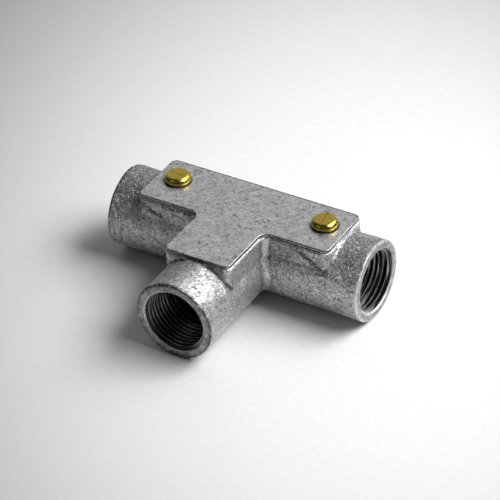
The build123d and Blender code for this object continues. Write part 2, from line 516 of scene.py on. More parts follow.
def cast_skin(name, distance, reach, size, step, roughness):
    """A closed cast form in place, uneven by a share of the lump depth, outward if it's negative."""
    flat_depth, flat_share = 0.8 * MM, 0.12
    low, high = -reach - 2 * step, reach + 2 * step
    points, quads = net_of(distance, low, high, step)
    points = settle(points, quads, distance, step)
    slope = slope_of(distance, points)
    slope /= np.linalg.norm(slope, axis=1)[:, None]
    ground = np.clip((size.rim_height - points[:, 2]) / flat_depth, flat_share, 1)
    depth = lump_depths(points, size) * ground * roughness
    return mesh_object(name, points - slope * depth[:, None] + crossing_of(size), quads)


def shoulder_bore(size, thickness, sides):
    """What cuts a stop shoulder, with its two edges rounded."""
    lip, past_the_end = 0.5 * MM, 1.0 * MM
    start, end = size.thread_depth, size.thread_depth + thickness
    wide = size.shoulder_radius + lip
    profile = [(0, start - lip), (wide, start - lip)]
    profile += [(wide - lip * math.sin(a), start + lip * (1 - math.cos(a))) for a in quarter_turn(3)]
    profile += [(wide - lip * math.cos(a), end - lip + lip * math.sin(a)) for a in quarter_turn(3)]
    profile += [(wide, end + past_the_end), (0, end + past_the_end)]
    return turned_form(profile, sides)


def socket_tools(size):
    """What cuts the three sockets: a threaded core each, and the bore of its stop shoulder."""
    sides = 96
    past_the_mouth = 0.6 * MM
    runout = 1.3 * size.thread_pitch
    crest, root = size.thread_radius, size.thread_root_radius
    soft = crest + 0.10 * MM  # the two softened edges of a crest
    rows = ((0.00, soft), (0.06, crest), (0.19, crest), (0.25, soft), (0.55, root), (0.70, root))

    def trimmed(height, radius):
        fade = rise(size.thread_depth - height, 0, runout)
        return max(crest + (radius - crest) * fade, crest + size.mouth_chamfer - height)

    tools = []
    for name, degrees, axis, reach, shoulder in (
        ("right", -90, "Y", size.run_reach, size.run_shoulder),
        ("left", 90, "Y", size.run_reach, size.run_shoulder),
        ("branch", -90, "X", size.branch_reach, size.branch_shoulder),
    ):
        turn = Matrix.Rotation(degrees * DEGREE, 4, axis)
        inward = turn @ Vector((0, 0, 1))
        place = Matrix.Translation(Vector(crossing_of(size)) - inward * reach) @ turn
        core = helix_form(rows, size.thread_pitch, -past_the_mouth, size.thread_depth, trimmed, sides)
        for kind, bm in (("thread", core), ("bore", shoulder_bore(size, shoulder, sides))):
            bm.transform(place)
            tools.append(object_of(f"{name}_{kind}", bm))
    return tools


def tapped_hole_tools(size):
    """What cuts the two tapped holes in the lugs."""
    pitch, crest, root = 0.7 * MM, 2.0 * MM, 2.25 * MM
    rows = ((0.0, crest), (0.25, crest), (0.55, root), (0.7, root))
    lead_in = 0.3 * MM
    sides = 40

    def trimmed(height, radius):
        return max(radius, root + lead_in + height)

    tools = []
    for name, low, high in (("left_hole", left_low, left_high), ("right_hole", right_low, right_high)):
        bm = helix_form(rows, pitch, -size.lug_depth - lead_in, lead_in, trimmed, sides)
        middle = (low + high) / 2
        bm.transform(Matrix.Translation((middle.x, middle.y, cover_low.z)))
        tools.append(object_of(name, bm))
    return tools


class SkinSpots:
    """Where points of the casting lie, measured from the crossing of its axes."""

    def __init__(self, points, size):
        self.size = size
        self.x, self.y, self.z = points.T
        self.from_run, self.from_branch = np.hypot(self.y, self.z), np.hypot(self.x, self.z)
        self.wall = tee_distance(self.x, self.y, size)
        self.out_x, self.out_y = tee_slope(self.x, self.y, size)
        self.at_wall = near(self.wall, 0.7 * MM)
        self.below = size.rim_height - self.z
        self.past_mouth = np.maximum(np.abs(self.x) - size.run_reach, -self.y - size.branch_reach)
        self.barrels, self.box, _ = casting_forms(points, size)
        self.crotch = self.from_crotch(0.6 * MM)

    def from_crotch(self, fillet):
        """From the middle of the fillet in the right crotch, which leans out with the barrels."""
        bulge = np.sqrt(np.maximum(self.size.barrel_radius ** 2 - self.z ** 2, 0))
        across = self.x - np.maximum(self.size.stem_half_width, bulge) - fillet
        back = self.y + np.maximum(self.size.arm_half_width, bulge) + fillet
        return np.hypot(across, back)

    def fold(self, start, start_below, slope, width):
        """A line that sinks to the right along the walls, where a crease gets painted shade."""
        return near(self.below - start_below - slope * (self.x - start), width)

    def lip(self, from_mouth, from_axis, inset, width):
        """The outer edge of a mouth."""
        return near(from_mouth, width) * near(from_axis - self.size.barrel_radius + inset, width)


def painted_highlights(spots):
    """Painted highlights on the rim's edge where it faces right and on the edge of the right mouth, and a
    lighter strip down the right crotch.
    """
    size = spots.size
    rim_width, strip_width, strip_start = 0.9 * MM, 0.7 * MM, 0.5 * MM
    inset, width = 0.25 * MM, 0.5 * MM
    # Painted highlight on the rim's edge, only where it faces right
    rim = spots.at_wall * near(spots.below, rim_width) * np.clip(spots.out_x, 0, 1)
    mouth = spots.lip(spots.x - size.run_reach + inset, spots.from_run, inset, width)
    strip = near(spots.crotch, strip_width) * (spots.below > strip_start)
    return rim + mouth + 0.8 * strip


def wall_shade(spots):
    """Painted shade on the upright walls under the arms of the cover: along creases, below the rim and
    near the right crotch.
    """
    size, x = spots.size, spots.x
    front = (spots.out_y < -0.5) & (spots.y < 0)
    right_crease_shade = spots.fold(start=21.6 * MM, start_below=1.05 * MM, slope=0.6, width=1.2 * MM)
    right_crease_shade *= rise(x, 19 * MM, 5 * MM) * (x < size.arm_reach)
    left_end = -32 * MM
    left_crease_shade = spots.fold(start=left_end, start_below=2.3 * MM, slope=0.31, width=1.2 * MM)
    left_crease_shade *= (x > left_end) * rise(-x, 20 * MM, 4 * MM)
    under_rim_shade = near(spots.below - 1.0 * MM, 0.6 * MM) * (x > -24 * MM) * (x < -size.stem_half_width)
    shade = near(x - 17 * MM, 6 * MM) * near(spots.below - 5 * MM, 4 * MM)
    return spots.at_wall * front * (right_crease_shade + left_crease_shade + under_rim_shade + 0.4 * shade)


def foot_shade(spots):
    """Painted shade in the crease where the walls of the box grow out of the barrels."""
    size, x, y = spots.size, spots.x, spots.y
    branch_end = (y < -size.stem_reach + 2 * MM) * (x < size.stem_half_width)
    left_end = x < -size.arm_reach + MM
    foot = near(np.abs(spots.barrels) + np.abs(spots.box), 0.6 * MM)
    return foot * (branch_end + 0.6 * (y > 0) + 0.5 * left_end)


def crotch_shade(spots):
    """Painted shade in the left crotch, and beside the lighter strip in the right one."""
    size = spots.size
    fillet, top = 0.7 * MM, 0.5 * MM
    across = spots.x + size.stem_half_width + fillet
    back = spots.y + size.arm_half_width + fillet
    left = near(np.hypot(across, back), 1.6 * MM)
    right = near(spots.crotch - 1.5 * MM, 0.4 * MM)
    return (0.7 * left + 0.5 * right) * (spots.below > top)


def barrel_shade_and_darkening(spots):
    """Painted shade at the outer edges of the branch and left mouths and under the barrels, and darkening
    over the tops of the barrels.
    """
    size, x = spots.size, spots.x
    edge, width = 0.3 * MM, 0.5 * MM
    branch_lip_shade = near(spots.y + size.branch_reach - edge, width)
    branch_lip_shade *= near(spots.from_branch - size.barrel_radius + 0.15 * MM, 0.6 * MM)
    left_lip_shade = spots.lip(x + size.run_reach - edge, spots.from_run, 0, width)
    left_top_darkening = (x < -size.arm_reach) * (spots.z > 0)
    height = spots.z / size.barrel_radius
    underside_shade = rise(-height, 0.7, 0.25)
    top_darkening = rise(height, 0.5, 0.3) * (spots.wall > 0.5 * MM)
    top_darkening *= np.where(x > size.arm_reach, 1, rise(-x, -2 * MM, 4 * MM))
    return branch_lip_shade + 0.8 * left_lip_shade + 0.1 * left_top_darkening + 0.5 * underside_shade + 0.4 * top_darkening


def painted_crease_strength(spots):
    """How strongly the painted creases show on the front of the skin: full on the right arm, less
    elsewhere.
    """
    on_run = rise(-spots.y, 2 * MM, 3 * MM)
    painted_crease_share = np.where(spots.from_run < spots.from_branch, on_run, 0.2)
    return painted_crease_share * np.where(spots.x < -spots.size.stem_half_width, 0.5, 1)


def skin_marks(points, size):
    """Where the casting gets painted highlights and painted shade, how strongly its painted creases show,
    and how ground and sharp-crested it is at its points.
    """
    spots = SkinSpots(points, size)
    depth = np.minimum(spots.from_run, spots.from_branch)
    crest = (size.thread_root_radius - depth) / (size.thread_root_radius - size.thread_radius)
    in_thread = spots.past_mouth > 0.5 * MM - size.thread_depth
    lead_in = depth - size.thread_radius - size.mouth_chamfer - spots.past_mouth
    return {
        "rubbed": painted_highlights(spots),
        # Painted shade in hollows, creases and under the barrels, with darker barrel tops
        "shade_and_grime": wall_shade(spots) + foot_shade(spots) + crotch_shade(spots) + barrel_shade_and_darkening(spots),
        "shade_below_rim": spots.at_wall * (1 - np.clip(2 * spots.out_x, 0, 1)),
        "painted_crease_share": painted_crease_strength(spots),
        "ground": near(spots.past_mouth, 0.25 * MM),
        "crest": crest * in_thread,
        "lead_in": near(lead_in, 0.1 * MM),
    }


def mark_casting(mesh, size):
    """Gives each face its finish, and each point its painted shade and its painted highlights."""
    skin, chamber, run_thread, branch_thread = range(4)
    skin_thickness, hair = 0.6 * MM, 0.02 * MM
    centres = spots_of(mesh.polygons, "center", size)
    x, y, z = centres.T
    bore = size.thread_radius + size.mouth_chamfer + hair
    in_run = (np.hypot(y, z) < bore) & (np.abs(x) > size.run_reach - size.thread_depth - hair)
    in_branch = (np.hypot(x, z) < bore) & (-y > size.branch_reach - size.thread_depth - hair)
    inside = casting_distance(centres, size) < -skin_thickness
    finish = np.select((in_run, in_branch, inside), (run_thread, branch_thread, chamber), skin)
    mesh.polygons.foreach_set("material_index", finish)
    for name, values in skin_marks(spots_of(mesh.vertices, "co", size), size).items():
        write_layer(mesh, name, values)


class MESH_OT_tee_casting(bpy.types.Operator):
    """Builds the galvanised casting, with its threaded sockets and its cavity"""

    bl_idname = "mesh.tee_casting"
    bl_label = "Build Casting"

    def execute(self, context):
        size = context.scene.tee_casting
        colours = context.scene.tee_finish
        reach = np.array((size.run_reach, size.branch_reach, size.barrel_radius))
        piece = cast_skin(
            "cast_tee", lambda p: casting_distance(p, size), reach, size, size.skin_step, roughness=1.0)
        cavity = cast_skin(
            "cavity", lambda p: cavity_distance(p, size), reach, size, size.cavity_step, roughness=-0.6)
        cut_away(piece, [cavity, *socket_tools(size), *tapped_hole_tools(size)])
        mark_casting(piece.data, size)
        smooth_with_edges(piece, 38 * DEGREE)
        for finish in (
            galvanised_skin(colours),
            shaded_chamber_skin(colours),
            cut_thread(
                "run_thread", colours, line_lengths_mm=(0.45, 12, 12),
                line_tone=0.8, polish=0.8, crest_edge=0.88),
            cut_thread(
                "branch_thread", colours, line_lengths_mm=(12, 0.45, 12),
                line_tone=0.12, polish=1.0, crest_edge=0.8),
        ):
            piece.data.materials.append(finish)
        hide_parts("casting")
        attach(piece, "body")
        return {"FINISHED"}


# The cover plate


def tee_outline(size, inset, spacing):
    """Points round the T outline, moved in by an inset, in order and evenly spaced."""
    corner, crotch = size.corner_round - inset, size.crotch_round + inset
    half_arm, half_stem = size.arm_half_width - inset, size.stem_half_width - inset
    arm, stem = size.arm_reach - inset, size.stem_reach - inset
    turns = (
        ((-arm, half_arm), corner), ((-arm, -half_arm), corner), ((-half_stem, -half_arm), crotch),
        ((-half_stem, -stem), corner), ((half_stem, -stem), corner), ((half_stem, -half_arm), crotch),
        ((arm, -half_arm), corner), ((arm, half_arm), corner),
    )
    path = []
    for i, (point, radius) in enumerate(turns):
        here = Vector(point)
        back = (Vector(turns[i - 1][0]) - here).normalized()
        on = (Vector(turns[(i + 1) % len(turns)][0]) - here).normalized()
        centre = here + radius * (back + on)
        path += [centre - radius * (on * math.cos(a) + back * math.sin(a)) for a in quarter_turn(8)]
    points = []
    for start, end in zip(path, path[1:] + path[:1]):
        parts = max(1, round((end - start).length / spacing))
        points += [start.lerp(end, k / parts) for k in range(parts)]
    return points


def inward_of(points):
    """The direction into the outline at each of its points."""
    return [
        (points[(i + 1) % len(points)] - points[i - 1]).orthogonal().normalized()
        for i in range(len(points))
    ]


def ring_points(centre, radius, count):
    """Points evenly round a circle."""
    turns = [2 * math.pi * k / count for k in range(count)]
    return [centre + radius * Vector((math.cos(a), math.sin(a))) for a in turns]


def sheet_dip(x, y, size):
    """How far the rolled sheet dips at a place, by a share of its waviness."""
    broad_size, fine_size = 14, 5
    apart = Vector((3, 9, 1))
    spot = Vector((x, y, 0)) / MM
    wave = noise.noise(spot / broad_size) * 0.6 + noise.noise(spot / fine_size + apart) * 0.4
    return size.waviness * rise(wave, -0.5, 1)


def edge_walls(bm, edge, inward, profile):
    """The wall of a sheet along a closed edge. Gives back its lowest and its highest row."""
    rows = [
        [bm.verts.new((*(p + inset * n), height)) for p, n in zip(edge, inward)]
        for inset, height in profile
    ]
    for lower, upper in zip(rows, rows[1:]):
        for i in range(len(lower)):
            j = (i + 1) % len(lower)
            bm.faces.new((lower[i], lower[j], upper[j], upper[i]))
    return rows[0], rows[-1]


def cover_mesh(size, casting):
    """The cover: a rounded T sheet with two holes, slightly wavy, as closed mesh."""
    hole_sides = 32
    foot_inset, foot_height = 0.06 * MM, 0.08 * MM
    calm_start, calm_width = 4, 3
    lug_x, lug_y = lug_place(casting)
    holes = [Vector((-lug_x, lug_y)), Vector((lug_x, lug_y))]
    thickness = cover_high.z - cover_low.z
    rounding = size.edge_round
    profile = [(foot_inset, 0.0), (0.0, foot_height)]
    profile += [
        (rounding * (1 - math.cos(a)), thickness - rounding * (1 - math.sin(a)))
        for a in quarter_turn(3)
    ]
    bm = bmesh.new()
    outline = tee_outline(casting, size.inset, size.mesh_step)
    loops = [edge_walls(bm, outline, inward_of(outline), profile)]
    for hole in holes:
        ring = ring_points(hole, size.hole_radius, hole_sides)
        loops.append(edge_walls(bm, ring, [(p - hole).normalized() for p in ring], profile))
    for level in zip(*loops):
        fill_face(bm, level, size, casting)
    middle = Vector(crossing_of(casting))
    for vert in bm.verts:
        from_screw = min((vert.co.xy - h).length for h in holes)
        if vert.co.z > thickness / 2:
            calm = rise(from_screw / MM, calm_start, calm_width)
            vert.co.z -= sheet_dip(vert.co.x, vert.co.y, size) * calm
        vert.co += Vector((middle.x, middle.y, cover_low.z))
    return object_of("cover_sheet", bm)


def fill_face(bm, loops, size, casting):
    """Fills the flat face between an outline and its holes with an even mesh."""
    step = size.mesh_step
    edge_gap = 0.8 * step
    height = loops[0][0].co.z
    border = [v for loop in loops for v in loop]
    edges = []
    for loop in loops:
        first = border.index(loop[0])
        edges += [(first + i, first + (i + 1) % len(loop)) for i in range(len(loop))]
    flat = [v.co.xy.copy() for v in border]
    low_x, high_x = min(p.x for p in flat), max(p.x for p in flat)
    low_y, high_y = min(p.y for p in flat), max(p.y for p in flat)
    holes = []
    for loop in loops[1:]:
        middle = sum((v.co.xy for v in loop), Vector((0, 0))) / len(loop)
        holes.append((middle, (loop[0].co.xy - middle).length))
    inner = []
    for i in range(int((high_x - low_x) / step)):
        for j in range(int((high_y - low_y) / step)):
            spot = Vector((low_x + (i + 0.5 + 0.5 * (j % 2)) * step, low_y + (j + 0.5) * step))
            inset = tee_distance(np.array([spot.x]), np.array([spot.y]), casting)[0]
            clear = all((spot - middle).length > radius + step / 2 for middle, radius in holes)
            if inset < -(LEDGE + edge_gap) and clear:
                inner.append(spot)
    inside_the_outline, merge_distance = 1, 0.0001 * MM
    found = geometry.delaunay_2d_cdt(flat + inner, edges, [], inside_the_outline, merge_distance)
    places, _, faces, origins = found[:4]
    verts = []
    for place, origin in zip(places, origins):
        if origin and origin[0] < len(border):
            verts.append(border[origin[0]])
        else:
            verts.append(bm.verts.new((place.x, place.y, height)))
    for face in faces:
        centre = sum((places[i] for i in face), Vector((0, 0))) / len(face)
        if all((centre - middle).length > radius * 0.99 for middle, radius in holes):
            bm.faces.new([verts[i] for i in face])


def mark_cover(mesh, casting):
    """Paints shade along the sheet's edge farthest from the branch."""
    x, y, _ = spots_of(mesh.vertices, "co", casting).T
    _, out_y = tee_slope(x, y, casting)
    edge = near(tee_distance(x, y, casting) + 0.6 * MM, 0.2 * MM)
    write_layer(mesh, "far_edge_shade", (out_y > 0.5) * (y > 0) * edge)


class MESH_OT_tee_cover(bpy.types.Operator):
    """Builds the cover plate"""

    bl_idname = "mesh.tee_cover"
    bl_label = "Build Cover"

    def execute(self, context):
        scene = context.scene
        piece = cover_mesh(scene.tee_cover, scene.tee_casting)
        mark_cover(piece.data, scene.tee_casting)
        smooth_with_edges(piece, 50 * DEGREE)
        piece.data.materials.append(galvanised_plate(scene.tee_finish))
        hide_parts("cover_plate")
        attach(piece, "cover")
        return {"FINISHED"}


# The cover screws


def head_profile(size):
    """Half the outline of the pan head: rounded foot, waist, round shoulder and flat top."""
    radius, height = size.head_radius, size.head_height
    waist, crown = 0.9 * MM, 0.03 * MM
    top_bevel, top_drop = 0.12 * MM, 0.02 * MM
    flattest, steps = 62 * DEGREE, 8
    profile = [(0, 0)]
    profile += [
        (radius - size.head_foot * (1 - math.cos(a)), waist * (1 - math.sin(a)))
        for a in reversed(quarter_turn(4))
    ]
    for k in range(1, steps + 1):
        lean = flattest * k / steps
        across = size.head_shoulder * (1 - math.cos(lean)) / (1 - math.cos(flattest))
        up = (height - crown - waist) * math.sin(lean) / math.sin(flattest)
        profile.append((radius - across, waist + up))
    return profile + [(radius - size.head_shoulder - top_bevel, height - top_drop), (0, height)]


def slot_form(size, width, slot_turn):
    """What cuts a driver slot, with its two ends burred wider."""
    burr_length, burr_width, burr_drop = 1.9 * MM, 0.4 * MM, 0.1 * MM
    slot = bmesh.new()
    for middle, drop, long, wide in (
        (0, 0, 3 * size.head_radius, width),
        (-size.head_radius, burr_drop, burr_length, burr_width),
        (size.head_radius, burr_drop, burr_length, burr_width),
    ):
        bmesh.ops.create_cube(slot, size=1.0, matrix=(
            Matrix.Rotation(slot_turn, 4, "Z")
            @ Matrix.Translation((middle, 0, size.head_height - drop))
            @ Matrix.Diagonal((long, wide, 2 * size.slot_depth, 1))))
    return slot


def screw_piece(name, place, slot_turn, slot_width, size):
    """One brass screw: a turned pan head, a milled slot and a threaded shank."""
    neck, thread_height = 0.2 * MM, 0.42 * MM
    head_sides, shank_sides = 72, 40
    shank_length = place.z - right_low.z
    crest, root = size.shank_radius, size.shank_radius - thread_height
    rows = ((0.0, root), (0.19, root), (0.52, crest), (0.67, crest))

    def pointed(height, radius):
        return min(radius, root + max(height + shank_length, 0))

    piece = object_of(name, turned_form(head_profile(size), head_sides))
    shank = object_of(
        name + "_shank",
        helix_form(rows, size.shank_pitch, -shank_length, neck, pointed, shank_sides))
    combine(piece, shank, "UNION")
    cut_away(piece, [object_of(name + "_slot", slot_form(size, slot_width, slot_turn))])
    bpy.data.meshes.remove(shank.data)
    piece.data.transform(Matrix.Translation(place))
    return piece


class MESH_OT_tee_screws(bpy.types.Operator):
    """Builds the two brass screws of the cover"""

    bl_idname = "mesh.tee_screws"
    bl_label = "Build Screws"

    def execute(self, context):
        size = context.scene.tee_screw
        finish = cover_brass(context.scene.tee_finish)
        for side, low, high, slot_turn, slot_width in (
            ("left", left_low, left_high, size.left_slot_angle, size.left_slot_width),
            ("right", right_low, right_high, size.right_slot_angle, size.right_slot_width),
        ):
            middle = (low + high) / 2
            place = Vector((middle.x, middle.y, cover_high.z))
            piece = screw_piece(f"{side}_brass_screw", place, slot_turn, slot_width, size)
            smooth_with_edges(piece, 22 * DEGREE)
            piece.data.materials.append(finish)
            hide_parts(f"screw_{side}")
            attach(piece, f"{side}_screw")
        return {"FINISHED"}


# Finishes


class Recipe:
    """The nodes of one material or of the room, with short ways to add them."""

    def __init__(self, owner, coordinates="Object"):
        owner.use_nodes = True
        self.owner = owner
        self.tree = owner.node_tree
        self.place = self.tree.nodes.new("ShaderNodeTexCoord").outputs[coordinates]

    def link(self, source, socket):
        """Joins an output, or writes a plain value, to a socket."""
        if isinstance(source, bpy.types.NodeSocket):
            self.tree.links.new(source, socket)
        else:
            socket.default_value = source

    def node(self, kind, inputs, **settings):
        """A new node with its settings, and a source or a value for each of these inputs."""
        node = self.tree.nodes.new(kind)
        for name, value in settings.items():
            setattr(node, name, value)
        for socket, source in inputs.items():
            self.link(source, node.inputs[socket])
        return node

    def noise(self, size_mm, detail=3.0, distortion=0.0, roughness=0.5, place=None):
        """Cloudy noise with features of about this size, from 0 to 1."""
        inputs = {"Scale": 1 / (size_mm * MM), "Detail": detail, "Distortion": distortion}
        inputs |= {"Roughness": roughness, "Vector": place or self.place}
        return self.node("ShaderNodeTexNoise", inputs).outputs["Fac"]

    def patches(self, size_mm, low, high, detail=1.0):
        """Islands of about this size, 1 inside and 0 between them."""
        return self.ramp(self.noise(size_mm, detail), low, high)

    def folds(self, size_mm, distortion):
        """Zero along winding lines, and of opposite signs on their two sides."""
        return self.less(self.noise(size_mm, 1, distortion), 0.5)

    def pits(self, spacing_mm):
        """1 in small round pits, scattered at about this spacing."""
        inputs = {"Scale": 1 / (spacing_mm * MM), "Vector": self.place}
        from_middle = self.node("ShaderNodeTexVoronoi", inputs).outputs["Distance"]
        pit_floor, pit_edge = 0.14, 0.26
        return self.ramp(from_middle, pit_floor, pit_edge, 1, 0)

    def drawn_out(self, lengths_mm, turn=0.0, middle=(0, 0, 0)):
        """Coordinates from a middle, turned and then drawn out by these lengths along the axes."""
        inputs = {"Location": middle, "Rotation": (0, 0, turn), "Scale": lengths_mm}
        inputs["Vector"] = self.place
        return self.node("ShaderNodeMapping", inputs, vector_type="TEXTURE").outputs["Vector"]

    def height(self):
        """Height above the floor, in thousandths."""
        return self.math("DIVIDE", self.node("ShaderNodeSeparateXYZ", {0: self.place}).outputs["Z"], MM)

    def spread(self, place):
        """Distance from the middle of these coordinates, in thousandths."""
        length_of = self.node("ShaderNodeVectorMath", {0: place}, operation="LENGTH")
        return self.math("DIVIDE", length_of.outputs["Value"], MM)

    def ramp(self, value, low, high, to_low=0.0, to_high=1.0):
        """A value between low and high, spread smoothly over a new range."""
        inputs = dict(enumerate((value, low, high, to_low, to_high)))
        return self.node(
            "ShaderNodeMapRange", inputs, interpolation_type="SMOOTHSTEP").outputs["Result"]

    def band(self, value, middle, width):
        """1 in a narrow band of a value, 0 outside it."""
        off = self.math("ABSOLUTE", self.less(value, middle), 0)
        return self.ramp(off, 0.3 * width, 0.7 * width, 1, 0)

    def math(self, operation, a, b):
        """One step of arithmetic."""
        return self.node("ShaderNodeMath", {0: a, 1: b}, operation=operation).outputs[0]

    def times(self, a, b):
        """One value multiplied by another."""
        return self.math("MULTIPLY", a, b)

    def less(self, a, b):
        """One value less another."""
        return self.math("SUBTRACT", a, b)

    def larger(self, a, b):
        """The larger of two values."""
        return self.math("MAXIMUM", a, b)

    def mix(self, share, a, b):
        """Two colours blended by a share."""
        inputs = {0: share}
        for socket, source in ((6, a), (7, b)):
            linked = isinstance(source, bpy.types.NodeSocket)
            inputs[socket] = source if linked else (*source, 1.0)
        return self.node("ShaderNodeMix", inputs, data_type="RGBA").outputs[2]

    def two_tone(self, cloud, colour, dark, pale, low=0.35, high=0.65):
        """A dark and a pale tone of a colour, in the clouds of a noise."""
        return self.mix(self.ramp(cloud, low, high), scaled(colour, dark), scaled(colour, pale))

    def coat(self, colour, mask, share, over):
        """A colour with another laid over it, by a share of a mask."""
        return self.mix(self.times(mask, share), colour, over)

    def layer(self, name):
        """A value that the mesh holds at its points."""
        return self.node("ShaderNodeAttribute", {}, attribute_name=name).outputs["Fac"]

    def bump(self, height, depth_mm, below=None):
        """Relief of this depth, on top of a coarser relief."""
        inputs = {"Distance": depth_mm * MM, "Height": height}
        if below is not None:
            inputs["Normal"] = below
        return self.node("ShaderNodeBump", inputs).outputs["Normal"]

    def finish(self, colour, roughness, normal, metallic):
        """Connects the shader."""
        shader = self.tree.nodes["Principled BSDF"]
        self.link(colour, shader.inputs["Base Color"])
        self.link(roughness, shader.inputs["Roughness"])
        self.link(normal, shader.inputs["Normal"])
        shader.inputs["Metallic"].default_value = metallic
        return self.owner


def material_recipe(name):
    """A recipe for a new material."""
    return Recipe(bpy.data.materials.new(name))


def scaled(colour, share):
    """A colour made lighter or darker."""
    return tuple(min(channel * share, 1.0) for channel in colour)


def galvanised_skin(colours):
    """Hot-dipped zinc on a cast skin: wrinkled, speckled, with painted shade in hollows and painted
    highlights on edges.
    """
    skin = material_recipe("galvanised_skin")
    zinc, bright, shade_and_grime = colours.zinc, colours.bright_zinc, colours.shade_and_grime

    # Fine mottle of the zinc
    swirl = skin.noise(0.85, distortion=1.4, roughness=0.55)
    speck = skin.noise(0.44, detail=2)
    colour = skin.two_tone(skin.noise(3.0, detail=2), zinc, dark=0.85, pale=1.15)
    colour = skin.mix(skin.ramp(speck, 0.34, 0.48, 0.38, 0), colour, scaled(zinc, 0.35))
    colour = skin.mix(skin.ramp(speck, 0.53, 0.66, 0, 0.7), colour, bright)
    colour = skin.mix(skin.ramp(swirl, 0.34, 0.46, 0.38, 0), colour, scaled(zinc, 0.32))

    # Fine folds all over, each a painted highlight on a ridge beside painted shade in a crack
    fold = skin.folds(0.95, 1.3)
    folded = skin.patches(1.1, 0.43, 0.51)
    crack_shade = skin.times(skin.band(fold, 0.035, 0.08), folded)
    ridge_highlights = skin.times(skin.band(fold, -0.04, 0.09), folded)
    colour = skin.mix(ridge_highlights, colour, bright)

    # Coarser creases on the fronts, painted only: each a painted highlight on a crest beside painted shade
    # in a furrow
    crease = skin.folds(1.7, 1.6)
    painted_crease_share = skin.times(skin.layer("painted_crease_share"), skin.patches(2.0, 0.46, 0.54))
    furrow_shade = skin.times(skin.band(crease, 0.05, 0.12), painted_crease_share)
    crest_highlights = skin.times(skin.band(crease, -0.07, 0.12), painted_crease_share)
    colour = skin.coat(colour, crest_highlights, 0.6, bright)
    colour = skin.coat(colour, crack_shade, 0.75, shade_and_grime)
    colour = skin.coat(colour, furrow_shade, 0.55, shade_and_grime)

    pits = skin.times(skin.pits(0.9), skin.patches(1.7, 0.45, 0.53))
    colour = skin.coat(colour, pits, 0.9, shade_and_grime)

    # Ground mouths; painted shade in hollows, creases, under barrels and below the rim; darker barrel
    # tops; painted highlights on right-facing edges
    stain = skin.noise(1.1, detail=4, roughness=0.7)
    stained = skin.two_tone(stain, zinc, dark=0.2, pale=0.95, low=0.38, high=0.6)
    colour = skin.mix(skin.layer("ground"), colour, stained)
    colour = skin.coat(colour, skin.layer("shade_and_grime"), skin.patches(0.9, 0.32, 0.5, detail=4), shade_and_grime)
    line_height, line_width = cover_low.z / MM - 0.55, 0.4
    # Painted shade in a thin line below the rim's edge, except where the wall faces right
    shade_below_rim = skin.times(skin.layer("shade_below_rim"), skin.band(skin.height(), line_height, line_width))
    colour = skin.coat(colour, shade_below_rim, 0.7, shade_and_grime)
    # Painted highlights on right-facing edges, and the lighter strip down the right crotch
    colour = skin.coat(colour, skin.layer("rubbed"), skin.patches(0.6, 0.35, 0.55, detail=2), bright)

    roughness = skin.ramp(skin.noise(1.0, detail=2), 0.3, 0.7, 0.36, 0.46)
    normal = skin.bump(skin.noise(1.5, detail=2, distortion=1.3), 0.28)
    normal = skin.bump(swirl, 0.12, normal)
    normal = skin.bump(skin.less(ridge_highlights, skin.larger(crack_shade, pits)), 0.07, normal)
    return skin.finish(colour, roughness, normal, metallic=0.88)


def shaded_chamber_skin(colours):
    """The cast skin inside, duller, and painted darker: shade and dirt in the cavity."""
    skin = material_recipe("shaded_chamber_skin")
    mottle = skin.noise(2.4, detail=4, roughness=0.65)
    colour = skin.two_tone(mottle, colours.zinc, dark=0.08, pale=0.25, low=0.3, high=0.7)
    roughness = skin.ramp(mottle, 0.3, 0.7, 0.5, 0.65)
    normal = skin.bump(skin.noise(1.0, detail=4, distortion=0.8), 0.25)
    return skin.finish(colour, roughness, normal, metallic=0.8)


def cut_thread(name, colours, line_lengths_mm, line_tone, polish, crest_edge):
    """The tapped thread: bright crests and lead-in, and roots painted nearly black as shade, with lines
    along them.

    polish is the brightness of the lead-in, and crest_edge the share of the thread's height at
    which its bright crest starts."""
    cut = material_recipe(name)
    lines = cut.noise(1, detail=1, place=cut.drawn_out(line_lengths_mm))
    bright = cut.two_tone(cut.noise(1.2), colours.thread, dark=0.7, pale=1.3)
    # Painted shade: the roots are nearly black, the crests keep the thread's own tone
    dark = cut.two_tone(lines, colours.thread, dark=0.02, pale=line_tone, low=0.5, high=0.6)
    colour = cut.mix(cut.ramp(cut.layer("crest"), crest_edge, 1), dark, bright)
    lead_in = cut.layer("lead_in")
    patchy = cut.ramp(cut.noise(0.6, detail=2), 0.35, 0.6, 0.6 * polish, polish)
    colour = cut.coat(colour, lead_in, patchy, colours.bright_zinc)
    roughness = cut.ramp(lead_in, 0, 1, 0.34, 0.55)
    return cut.finish(colour, roughness, cut.bump(lines, 0.04), metallic=0.75)


